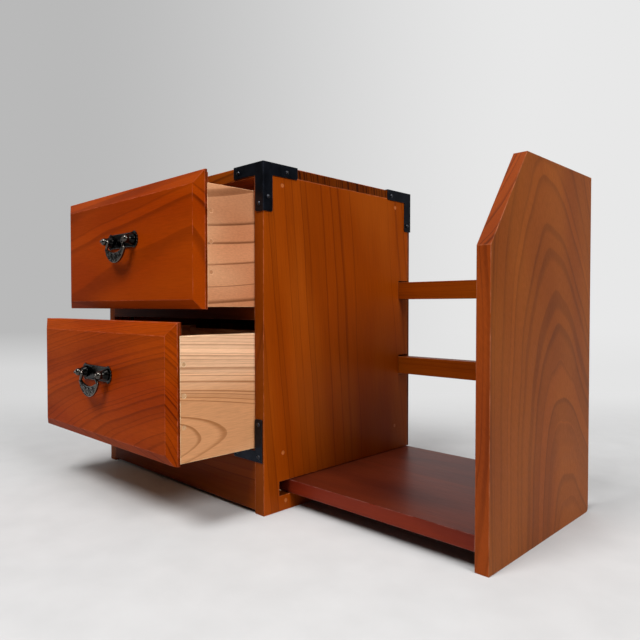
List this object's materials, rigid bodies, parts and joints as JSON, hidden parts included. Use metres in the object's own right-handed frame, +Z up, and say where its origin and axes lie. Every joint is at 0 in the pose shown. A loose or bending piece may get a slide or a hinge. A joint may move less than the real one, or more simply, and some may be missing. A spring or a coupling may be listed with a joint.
{
  "type": "desk cabinet",
  "caption": "Small lacquered wood desk cabinet with bevelled drawers, bail handles, iron corner brackets and a bookend with shelf and rails that slides out of its side.",
  "frame": {"origin": "on the desk, under the middle of the whole part with its drawers and bookend as in the picture", "axes": "+X to the right along the front, where the bookend slides out; +Y to the back; +Z up"},
  "size_m": [0.4706, 0.3034, 0.3021],
  "materials": {
    "case_wood": "reddish lacquer, satin",
    "front_wood": "orange-brown lacquer, satin",
    "bookend_wood": "olive-brown lacquer, satin",
    "pale_wood": "bare pale softwood",
    "back_board": "thin plywood, stained",
    "iron": "black, satin",
    "iron_tack": "black, worn satin",
    "dark_bronze": "blackened, polished on the edges",
    "nail_steel": "dull"
  },
  "bodies": {
    "case": {"top_panel": "case_wood", "drawer_divider": "case_wood", "case_floor": "case_wood", "plinth_board": "case_wood", "back_panel": "back_board", "front_shelf_runner": "pale_wood", "rear_shelf_runner": "pale_wood", "left_side_panel": "case_wood", "upper_left_kicker": "pale_wood", "lower_left_kicker": "pale_wood", "lower_left_corner_plate": "iron", "front_left_corner_bracket": "iron", "rear_left_corner_bracket": "iron", "right_side_panel": "case_wood", "upper_right_kicker": "pale_wood", "lower_right_kicker": "pale_wood", "lower_right_corner_plate": "iron", "front_right_corner_bracket": "iron", "rear_right_corner_bracket": "iron", "bracket_tacks": "iron_tack", "case_nails": "nail_steel", "back_panel_nails": "nail_steel"},
    "upper_drawer": {"upper_drawer_front": "front_wood", "upper_drawer_left_side": "pale_wood", "upper_drawer_right_side": "pale_wood", "upper_drawer_back": "pale_wood", "upper_drawer_bottom": "pale_wood", "upper_drawer_nails": "nail_steel", "upper_handle_plate": "dark_bronze", "upper_handle_posts": "dark_bronze", "upper_handle_nuts": "nail_steel"},
    "upper_bail": {"upper_bail": "dark_bronze"},
    "lower_drawer": {"lower_drawer_front": "front_wood", "lower_drawer_left_side": "pale_wood", "lower_drawer_right_side": "pale_wood", "lower_drawer_back": "pale_wood", "lower_drawer_bottom": "pale_wood", "lower_drawer_nails": "nail_steel", "lower_handle_plate": "dark_bronze", "lower_handle_posts": "dark_bronze", "lower_handle_nuts": "nail_steel"},
    "lower_bail": {"lower_bail": "dark_bronze"},
    "bookend": {"bookend_end_panel": "bookend_wood", "bookend_shelf": "bookend_wood", "bookend_upper_rail": "bookend_wood", "bookend_lower_rail": "bookend_wood", "bookend_stop_pegs": "pale_wood"}
  },
  "joints": [
    {"name": "upper_drawer_slide", "type": "slide", "parent": "case", "child": "upper_drawer", "axis": [0, -1, 0], "range_m": [-0.0479, 0.085]},
    {"name": "lower_drawer_slide", "type": "slide", "parent": "case", "child": "lower_drawer", "axis": [0, -1, 0], "range_m": [-0.0739, 0.059]},
    {"name": "upper_bail_swing", "type": "hinge", "parent": "upper_drawer", "child": "upper_bail", "pos_m": [-0.0952, -0.1211, 0.24013], "axis": [-1, 0, 0], "range_deg": [-15, 194]},
    {"name": "lower_bail_swing", "type": "hinge", "parent": "lower_drawer", "child": "lower_bail", "pos_m": [-0.0952, -0.1471, 0.11837], "axis": [-1, 0, 0], "range_deg": [-15, 194]},
    {"name": "bookend_slide", "type": "slide", "parent": "case", "child": "bookend", "axis": [1, 0, 0], "range_m": [-0.1798, 0.0324]}
  ]
}
